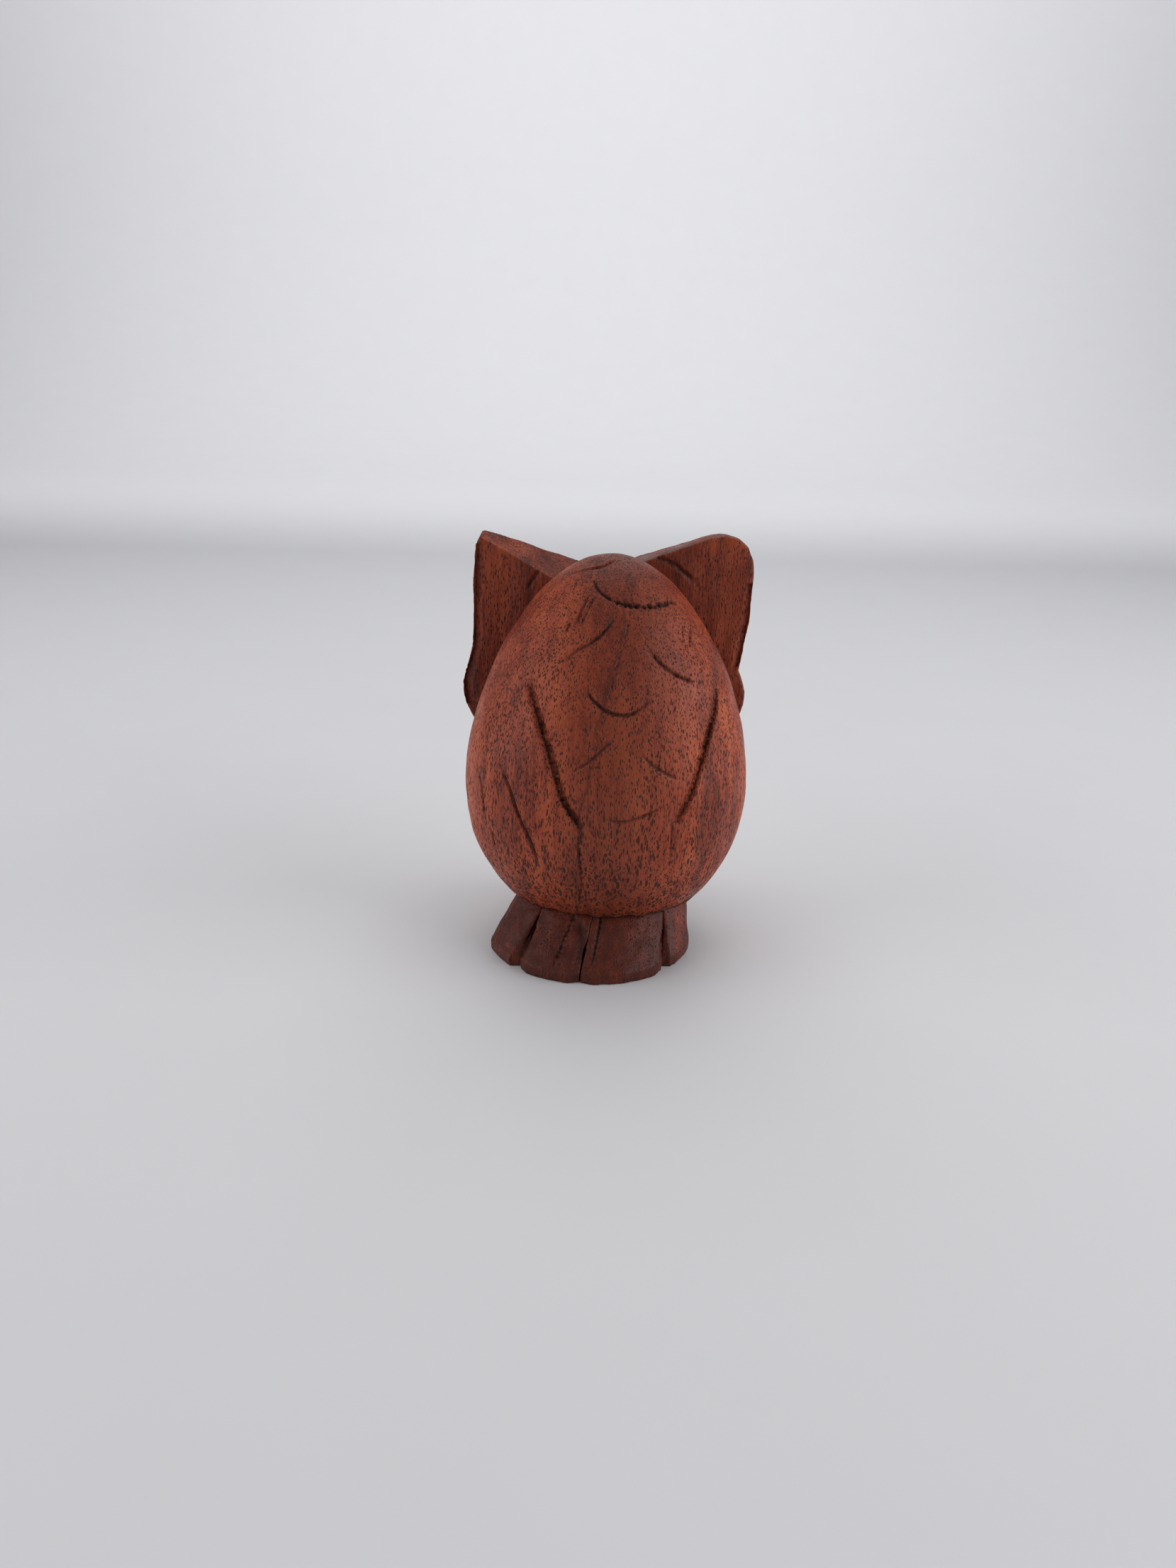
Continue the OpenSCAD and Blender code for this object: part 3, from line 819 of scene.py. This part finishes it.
def chest_strokes(egg):
    """Rows of small gouge scallops on the chest and long lines on the wing fronts."""
    def on_front(points):
        return [egg.point(x, drop, -1) for x, drop in points]

    first_row, row_gap, scallop_gap, half_span, sag = 28.0, 4.2, 4.6, 1.9, 1.3
    strokes = []
    for row in range(5):
        drop = first_row + row_gap * row
        count = 5 - (row + 1) // 2
        for k in range(count):
            x = (k - (count - 1) / 2) * scallop_gap
            arc = [(x + t * half_span, drop + sag * (1 - t * t)) for t in (-1, -0.5, 0, 0.5, 1)]
            strokes.append(Stroke(on_front(arc), 0.34, 0.34, 0.3, 0.3, 0.3))
    for side in (-1, 1):
        edge = [(side * x, drop) for x, drop in WING_EDGE]
        strokes.append(Stroke(on_front(edge), 0.6, 0.9, 0.2, 0.3, 0.2))
        for shift in LINE_SHIFTS:
            line = [(x + side * shift * 0.75, drop + shift * 0.9) for x, drop in edge[:3]]
            strokes.append(Stroke(on_front(line), 0.34, 0.36, 0.3, 0.5, 0.2))
    return strokes


def egg_ball(egg, steps):
    """The whole egg, with its ledge cut flat and the edge of the cut rounded."""
    bm = bmesh.new()
    bmesh.ops.create_uvsphere(bm, u_segments=steps, v_segments=int(steps * 0.7), radius=1.0)
    for v in bm.verts:
        ring = math.hypot(v.co.x, v.co.y)
        z = egg.middle + egg.half * v.co.z
        share = egg.share(z) / ring if ring > EVERY else 0.0
        v.co = (egg.half_width * share * v.co.x, egg.back + egg.half_depth * share * v.co.y, z)
    geometry = bm.verts[:] + bm.edges[:] + bm.faces[:]
    bmesh.ops.bisect_plane(
        bm, geom=geometry, plane_co=(0, 0, egg.ledge), plane_no=(0, 0, 1), clear_inner=True
    )
    rim = [e for e in bm.edges if e.is_boundary]
    bmesh.ops.edgeloop_fill(bm, edges=rim)
    bmesh.ops.bevel(
        bm, geom=rim, offset=0.7, segments=3, profile=0.5, affect="EDGES", material=-1
    )
    bmesh.ops.recalc_face_normals(bm, faces=bm.faces)
    return bm


def shape_trunk(bm, egg):
    """Lays the back in between the wings, and lifts each wing a little along its cut."""
    reach, drop_in, lift = 4.0, 0.42, 0.12
    bm.normal_update()
    co = places(bm)
    for side, cut in WING_CUTS.items():
        line = Stroke([egg.point(x, drop) for x, drop in cut], reach, drop_in, 0.3, 0.12)
        gap, along = line.measure(co)
        fade = line.fade(along)
        for v in bm.verts:
            i = v.index
            if gap[i] > reach or v.co.y < egg.back:
                continue
            place = line.path[np.argmin(np.abs(line.path[:, 2] - v.co.z))]
            inside = side * (place[0] - v.co.x) > 0
            v.co += v.normal * (-drop_in if inside else lift) * fade[i] * (1 - gap[i] / reach) ** 2


class OWL_OT_trunk(bpy.types.Operator):
    """Carve the trunk: crown, back, chest and both wings"""

    bl_idname = "owl.trunk"
    bl_label = "Trunk"

    def execute(self, context):
        sizes = context.scene.owl_sizes
        egg = Egg(sizes)
        bm = egg_ball(egg, sizes.body_steps)
        cut_and_shade_layer(bm)
        strokes = back_strokes(egg, sizes.cut_depth / MM) + chest_strokes(egg)
        refine(bm, strokes, sizes.fine_steps)
        wander(bm, sizes.unevenness / MM, 6.0, 1)
        shape_trunk(bm, egg)
        rag(bm, egg.ledge, 1.6, 0.45, 3)
        carve(bm, strokes)
        # Painted shade in a band along the ledge, where the body overhangs the tail
        paint_shade(bm, lambda v: 1.2 - abs(v.co.z - egg.ledge) / 0.5)
        finish_piece(
            bm, "carved_trunk", wood("waxed_wood"),
            ("body", "wing_left", "wing_right"),
        )
        return {"FINISHED"}


# ---------------------------------------------------------------- the face


# The cuts behind the ears: places across and up, half-width, depth, how they
# begin and end, and how ragged they are
EAR_CUTS = [
    (((9.9, 54.6), (11.1, 52.7), (12.1, 51.1)), 0.35, 0.4, 0.3, 0.3, 0.5),
    (((10.6, 53.8), (11.6, 52.2)), 0.3, 0.35, 0.3, 0.3, 0.5),
    (((18.2, 57.5), (18.35, 54.0), (18.8, 46.5), (19.6, 41.5)), 0.22, 0.16, 0.1, 0.2, 0.9),
    (((-6.0, 56.4), (-9.0, 55.3), (-12.0, 52.7), (-14.1, 50.4)), 0.4, 0.4, 0.3, 0.3, 0.5),
]


class OWL_OT_face(bpy.types.Operator):
    """Carve the face with its cheeks and both ears, the left one sharp and the right one rounded"""

    bl_idname = "owl.face"
    bl_label = "Face and ears"

    def execute(self, context):
        sizes = context.scene.owl_sizes
        high = node_box("ear_left")[1]
        back = high.y
        bm = clay_copy(sizes.clay_size * 0.9, 2, "face_disc", "ear_left", "ear_right")
        soften(bm, 5, [v for v in bm.verts if v.co.x < -11 and v.co.z > 40])
        # The long facet along the top of the left ear, behind
        along = Vector((0.875, 0.0, 0.485))
        up = Vector((-along.z, 0.0, along.x))
        slope = math.radians(27)
        crease = (high.x - 3.3, back, high.z - 1.15)
        plane_off(
            bm, crease, up * math.cos(slope) + Vector((0, math.sin(slope), 0)), 0.08,
            [v for v in bm.verts if v.co.x > 0],
        )
        # The narrow facet down the outer edge of each ear
        left_edge = [(19.1, 57.6), (19.4, 54.0), (19.75, 43.0), (21.2, 37.5), (20.8, 34.0)]
        right_edge = [(-20.1, 53.0), (-19.9, 47.5), (-19.0, 40.5)]
        chamfer(bm, [(x, back, z) for x, z in left_edge], 0.5, -1)
        chamfer(bm, [(x, back, z) for x, z in right_edge], 0.4, 1)
        for side in (-1, 1):
            hollow(bm, (side * 15.2, back, 50.5), 8.0, 0.45, (0, 1, 0))
        wander(bm, sizes.unevenness / MM, 3.5, 3)
        cut_and_shade_layer(bm)
        carve(bm, [
            Stroke([(x, back, z) for x, z in points], width, depth, start, end, rough)
            for points, width, depth, start, end, rough in EAR_CUTS
        ])
        bm.normal_update()
        # Painted shade near the back of the face and ears, strongest where the surface turns
        # sideways, as on the ear edges
        paint_shade(bm, lambda v: 0.6 - 1.2 * abs(v.normal.y) if v.co.y > back - 1.5 else 0.0)
        finish_piece(
            bm, "carved_face", wood("ear_wood", 0.58, 0.35, pore_amount=0.4, wide_amount=0.3),
            ("face_disc", "ear_left", "ear_right"),
        )
        return {"FINISHED"}


class OWL_OT_beak(bpy.types.Operator):
    """Carve the beak"""

    bl_idname = "owl.beak"
    bl_label = "Beak"

    def execute(self, context):
        sizes = context.scene.owl_sizes
        bm = clay_copy(sizes.clay_size / 2, 4, "beak")
        cut_and_shade_layer(bm)
        material = wood("beak_wood", depth=0.75, stain=0.25)
        finish_piece(bm, "carved_beak", material, ("beak",))
        return {"FINISHED"}


class OWL_OT_eyes(bpy.types.Operator):
    """Turn both eyes and set their beads"""

    bl_idname = "owl.eyes"
    bl_label = "Eyes"

    def execute(self, context):
        sizes = context.scene.owl_sizes
        for side in ("left", "right"):
            bm = clay_copy(sizes.clay_size / 2, 3, "eye_" + side)
            cut_and_shade_layer(bm)
            material = wood("eye_wood", depth=0.4)
            finish_piece(bm, "turned_eye_" + side, material, ("eye_" + side,))
            bm = clay_copy(sizes.clay_size / 2, 3, "pupil_" + side)
            cut_and_shade_layer(bm)
            material = bpy.data.materials.get("black_bead") or bead_material()
            finish_piece(bm, "bead_" + side, material, ("pupil_" + side,))
        return {"FINISHED"}


# ---------------------------------------------------------------- tail, feet and plinth

# The cuts on each feather: points, half-width, depth, and how ragged it is
FEATHERS = {
    "tail_outer_left": [],
    "tail_inner_left": [
        ([(4.0, 10.6, 8.0), (4.3, 11.7, 7.2), (5.5, 13.7, 5.1), (7.0, 16.6, 2.1)], 0.36, 0.34, 1.1),
        ([(3.3, 12.1, 7.0), (3.0, 14.6, 4.4), (4.0, 17.7, 0.3)], 0.9, 0.35, 0.2),
    ],
    "tail_inner_right": [
        ([(0.2, 11.2, 8.0), (0.7, 13.8, 5.7), (1.5, 17.0, 2.5)], 0.36, 0.4, 0.3),
        ([(3.2, 12.1, 7.0), (2.9, 14.6, 4.4), (3.9, 17.7, 0.3)], 0.9, 0.35, 0.2),
    ],
    "tail_outer_right": [],
}


# Where the feathers meet, from under the ledge to the rim
FEATHER_SEAMS = [
    [(7.5, 7.7, 8.0), (9.9, 10.9, 4.8), (12.2, 14.2, 1.6), (12.2, 14.2, 0.0)],
    [(-7.6, 7.6, 8.0), (-8.3, 10.6, 4.8), (-9.0, 13.8, 1.6), (-9.0, 13.8, 0.0)],
]


class OWL_OT_tail(bpy.types.Operator):
    """Carve the four feathers of the tail"""

    bl_idname = "owl.tail"
    bl_label = "Tail"

    def execute(self, context):
        sizes = context.scene.owl_sizes
        for number, (name, cuts) in enumerate(FEATHERS.items()):
            bm = clay_copy(sizes.clay_size * 0.75, 3, name)
            wander(bm, sizes.unevenness / MM, 3.0, 6 + number)
            rag(bm, 0.6, 0.8, 0.12, number)
            stand(bm)
            cut_and_shade_layer(bm)
            carve(bm, [
                Stroke(points, width, depth, 0.1, 0.3, rough)
                for points, width, depth, rough in cuts
            ] + [Stroke(points, 0.6, 0.5, 0.0, 0.0, 0.4) for points in FEATHER_SEAMS])
            # Painted shade at the foot of each feather, where it meets the floor
            paint_shade(bm, lambda v: 0.9 - v.co.z / 0.5)
            material = wood("tail_wood", 0.8, 0.2, pore_amount=0.25, wide_amount=0.1)
            finish_piece(bm, "carved_" + name, material, (name,))
        return {"FINISHED"}


def carve_base(context, name, rounds, seed):
    """A foot or the plinth, stained dark."""
    sizes = context.scene.owl_sizes
    bm = clay_copy(sizes.clay_size, rounds, name)
    wander(bm, sizes.unevenness / MM, 3.0, seed)
    stand(bm)
    cut_and_shade_layer(bm)
    material = wood("foot_wood", depth=0.7, stain=0.3)
    finish_piece(bm, "carved_" + name, material, (name,))


class OWL_OT_feet(bpy.types.Operator):
    """Carve both feet"""

    bl_idname = "owl.feet"
    bl_label = "Feet"

    def execute(self, context):
        for name in ("foot_left", "foot_right"):
            carve_base(context, name, 3, 11)
        return {"FINISHED"}


class OWL_OT_plinth(bpy.types.Operator):
    """Carve the plinth between the tail and the feet"""

    bl_idname = "owl.plinth"
    bl_label = "Plinth"

    def execute(self, context):
        carve_base(context, "plinth", 4, 12)
        return {"FINISHED"}


# ---------------------------------------------------------------- the stage


def floor_material(colour):
    """Plain matt floor with the faintest mottling."""
    material = bpy.data.materials.new("pale_floor")
    material.use_nodes = True
    graph = Graph(material.node_tree)
    shader = material.node_tree.nodes["Principled BSDF"]
    place = graph.add("ShaderNodeTexCoord")
    mottle = graph.noise(graph.scaled(place.outputs["Object"], (60.0, 60.0, 60.0)), 4.0)
    plain = tuple(colour) + (1.0,)
    darker = tuple(0.97 * c for c in colour) + (1.0,)
    graph.feed(shader.inputs["Base Color"], graph.mix(mottle, plain, darker))
    shader.inputs["Roughness"].default_value = 0.7
    return material


def make_floor(colour):
    """A floor that curves up into a backdrop far in front of the owl."""
    bm = bmesh.new()
    bmesh.ops.create_grid(bm, x_segments=2, y_segments=60, size=1.0)
    near, far, bend = 0.6, 0.55, 0.35
    for v in bm.verts:
        run = (1 - v.co.y) * 0.95
        y = near - run
        z = 0.0
        if y < -far:
            angle = min((-far - y) / bend, math.pi / 2)
            over = (-far - y) - angle * bend
            y = -far - bend * math.sin(angle)
            z = bend * (1 - math.cos(angle)) + over
        v.co = (v.co.x * 1.6, y, z)
    bmesh.ops.recalc_face_normals(bm, faces=bm.faces)
    mesh = bpy.data.meshes.new("floor")
    for face in bm.faces:
        face.smooth = True
    bm.to_mesh(mesh)
    bm.free()
    mesh.materials.append(floor_material(colour))
    floor = bpy.data.objects.new("floor", mesh)
    bpy.context.scene.collection.objects.link(floor)


def add_light(name, place, aim, size, power, colour=(1.0, 1.0, 1.0)):
    data = bpy.data.lights.new(name, "AREA")
    data.shape = "SQUARE"
    data.size = size
    data.energy = power
    data.color = colour
    light = bpy.data.objects.new(name, data)
    light.location = place
    light.rotation_euler = (Vector(aim) - Vector(place)).to_track_quat("-Z", "Y").to_euler()
    bpy.context.scene.collection.objects.link(light)


def add_camera(stage):
    data = bpy.data.cameras.new("camera")
    data.sensor_width = 36.0
    data.lens = stage.lens
    data.clip_start = 0.005
    camera = bpy.data.objects.new("camera", data)
    turn = Matrix.Rotation(math.pi, 4, "Z")
    tilt = Matrix.Rotation(math.pi / 2 - stage.camera_pitch, 4, "X")
    roll = Matrix.Rotation(stage.camera_roll, 4, "Z")
    place = Vector((stage.camera_side, stage.camera_distance, stage.camera_height))
    camera.matrix_world = Matrix.Translation(place) @ turn @ tilt @ roll
    bpy.context.scene.collection.objects.link(camera)
    bpy.context.scene.camera = camera


class OWL_OT_stage(bpy.types.Operator):
    """Lay the floor, hang the lights and place the camera"""

    bl_idname = "owl.stage"
    bl_label = "Stage"

    def execute(self, context):
        stage = context.scene.owl_stage
        make_floor(stage.floor_colour)
        add_light("top", (0.0, -0.17, 0.4), (0, -0.05, 0), 0.4, 0.8)
        add_light("left", (0.4, 0.12, 0.16), (0, 0, 0.035), 0.35, 0.75)
        add_light("right", (-0.4, 0.12, 0.16), (0, 0, 0.035), 0.35, 1.1)
        add_light("backdrop", (0.0, -0.55, 0.65), (0, -0.95, 0.5), 1.1, 4.2)
        world = bpy.data.worlds.new("studio")
        world.use_nodes = True
        sky = world.node_tree.nodes["Background"]
        sky.inputs["Color"].default_value = (0.95, 0.96, 1.0, 1.0)
        sky.inputs["Strength"].default_value = 0.24
        context.scene.world = world
        context.scene.view_settings.view_transform = "Standard"
        add_camera(stage)
        return {"FINISHED"}


# ---------------------------------------------------------------- the add-on


class OWL_PT_panel(bpy.types.Panel):
    """Sidebar panel that lists the owl's parts"""

    bl_idname = "OWL_PT_panel"
    bl_label = "Carved Owl"
    bl_space_type = "VIEW_3D"
    bl_region_type = "UI"
    bl_category = "Owl"

    def draw(self, context):
        for operator in OPERATORS:
            self.layout.operator(operator.bl_idname)
        for group in (context.scene.owl_sizes, context.scene.owl_finish, context.scene.owl_stage):
            box = self.layout.box()
            for name in group.__annotations__:
                box.prop(group, name)


OPERATORS = (
    OWL_OT_trunk, OWL_OT_face, OWL_OT_beak, OWL_OT_eyes,
    OWL_OT_tail, OWL_OT_feet, OWL_OT_plinth, OWL_OT_stage,
)
SETTINGS = {"owl_sizes": OwlSizes, "owl_finish": OwlFinish, "owl_stage": OwlStage}


def register():
    for group in SETTINGS.values():
        bpy.utils.register_class(group)
    for name, group in SETTINGS.items():
        setattr(bpy.types.Scene, name, PointerProperty(type=group))
    for operator in OPERATORS:
        bpy.utils.register_class(operator)
    bpy.utils.register_class(OWL_PT_panel)


def unregister():
    bpy.utils.unregister_class(OWL_PT_panel)
    for operator in reversed(OPERATORS):
        bpy.utils.unregister_class(operator)
    for name in SETTINGS:
        delattr(bpy.types.Scene, name)
    for group in reversed(list(SETTINGS.values())):
        bpy.utils.unregister_class(group)


def main():
    register()
    bpy.ops.owl.trunk()
    bpy.ops.owl.face()
    bpy.ops.owl.beak()
    bpy.ops.owl.eyes()
    bpy.ops.owl.tail()
    bpy.ops.owl.feet()
    bpy.ops.owl.plinth()
    bpy.ops.owl.stage()


if __name__ == "__main__":
    main()
